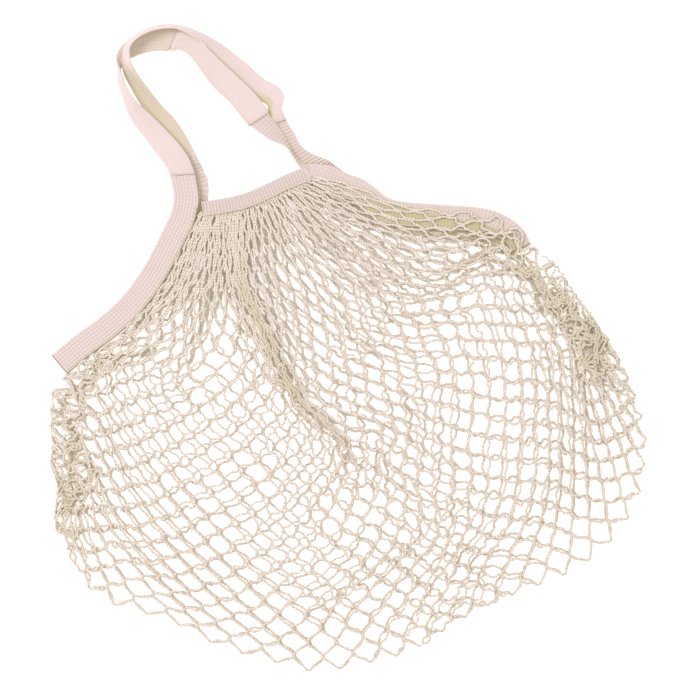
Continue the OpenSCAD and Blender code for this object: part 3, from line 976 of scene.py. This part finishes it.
def overcast(name, outline, node):
    """Yarn wound over the two layers' edges down one side of the net."""
    p = spaced([(x, y, JOIN_Z) for x, y in outline], 1.2)
    _, beside, _ = directions(p)
    turn = 2 * math.pi * lengths(p)[:, None] / JOIN_PITCH
    path = p + JOIN_LOOP * (np.cos(turn) * beside + np.sin(turn) * UP)
    path[:, 2] = np.maximum(path[:, 2], 0.8)
    piece = yarn_object(name, [(path, JOIN_R, 0.0)], YARN, BAG)
    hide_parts(node)


overcast("left_join_yarn", LEFT_SIDE[BARE_FROM:], "left_net_join")
overcast("right_join_yarn", RIGHT_SIDE_BACK[BARE_FROM:], "right_net_join")


def stitch_paths(start, end, count, seed):
    """A straight row of short stitches that dip into the cloth at both ends."""
    soft = np.random.default_rng(seed)
    a, b = np.array(start, float), np.array(end, float)
    step = (b - a) / count
    dip = UP * STITCH_DIP
    out = []
    for k in range(count):
        p = a + step * (k + 0.12) + UP * soft.normal(0, 0.03)
        q = a + step * (k + 0.82)
        out.append((np.array([p - dip, p, (p + q) / 2 + dip * 0.3, q, q - dip]), STITCH_R, 0.0))
    return out


def lap(name, start, end, inward, body, node, seed):
    """Two rows of stitches across a strap's end, where it is sewn over its foot."""
    rows = []
    for inset in (1.5, 4.0):
        off = np.array(inward) * inset
        rows += stitch_paths(np.array(start) + off, np.array(end) + off, LAP_STITCHES, seed)
    piece = yarn_object(name, rows, THREAD, body, twist=0)
    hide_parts(node)


lap("front_left_lap_sewing", (-78, 150, 9.95), (-61, 146.5, 10.0), (-0.1, 1, -0.05),
    FRONT, "front_left_lap_stitch", 1)
lap("front_right_lap_sewing", (8, 178.5, 9.9), (-8, 172.5, 9.9), (-0.35, 0.94, -0.1),
    FRONT, "front_right_lap_stitch", 2)
lap("back_left_lap_sewing", (-71, 150.5, 3.1), (-54, 149.5, 3.1), (-0.1, 1, 0),
    BACK, "back_left_lap_stitch", 3)
lap("back_right_lap_sewing", (20.3, 170.5, 10), (11, 171.5, 4.2), (-0.1, 1, 0),
    BACK, "back_right_lap_stitch", 4)


def mouth_ends():
    """Short rows of stitches that fix both ends of both mouth bands to the side bands."""
    rows = []
    for z in (FRONT_Z + 0.95, BACK_Z + 0.95):
        rows += stitch_paths((-60, 122.5, z), (-62.5, 114, z), 5, 5)
        rows += stitch_paths((28, 128, z), (29.5, 119, z), 5, 6)
    piece = yarn_object("mouth_end_sewing", rows, THREAD, BAG, twist=0)
    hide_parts("mouth_end_stitches")


mouth_ends()

# ---------------------------------------------------------------- stage


def stage():
    """A wide white table that glows a little, so that it stays white under the net."""
    half = 3.0
    corners = [(-half, -half, 0), (half, -half, 0), (half, half, 0), (-half, half, 0)]
    mesh = bpy.data.meshes.new("table")
    mesh.from_pydata(corners, [], [(0, 1, 2, 3)])
    table = bpy.data.objects.new("table", mesh)
    table.location.z = -0.0002
    bpy.context.scene.collection.objects.link(table)
    nodes = Nodes("white table")
    nodes.shader.inputs["Base Color"].default_value = (0.93, 0.93, 0.93, 1)
    nodes.shader.inputs["Roughness"].default_value = 0.9
    nodes.shader.inputs["Emission Color"].default_value = (1, 1, 1, 1)
    nodes.shader.inputs["Emission Strength"].default_value = 0.45
    mesh.materials.append(nodes.material)


def area_light(name, place, size, power, colour):
    """A square lamp that faces the bag. place and size are in metres, and power in watts."""
    light = bpy.data.lights.new(name, "AREA")
    light.size = size
    light.energy = power
    light.color = colour
    lamp = bpy.data.objects.new(name, light)
    lamp.location = place
    lamp.rotation_mode = "QUATERNION"
    lamp.rotation_quaternion = (-Vector(place)).to_track_quat("-Z", "Y")
    bpy.context.scene.collection.objects.link(lamp)


def lights():
    """A key lamp from the upper left, a weaker one from the right, and a pale warm room."""
    area_light("key light", (-0.9, 0.9, 1.7), size=0.9, power=23, colour=(1.0, 0.965, 0.965))
    area_light("fill light", (0.9, -0.5, 1.9), size=1.6, power=10, colour=(1.0, 0.98, 0.93))
    world = bpy.data.worlds.new("studio")
    world.use_nodes = True
    room = world.node_tree.nodes["Background"]
    room.inputs["Color"].default_value = (1.0, 0.96, 0.87, 1)
    room.inputs["Strength"].default_value = 0.60
    bpy.context.scene.world = world
    bpy.context.scene.view_settings.view_transform = "Standard"


def camera():
    """A long lens straight above the bag, turned a little to one side."""
    lens = bpy.data.cameras.new("camera")
    lens.lens = 85
    shown = 0.560       # metres across the picture, at the net's middle height
    middle_z = 0.008
    eye = bpy.data.objects.new("camera", lens)
    eye.location = (0.023, -0.0215, shown * lens.lens / lens.sensor_width + middle_z)
    eye.rotation_euler = (0, 0, math.radians(-15))
    bpy.context.scene.collection.objects.link(eye)
    bpy.context.scene.camera = eye


stage()
lights()
camera()
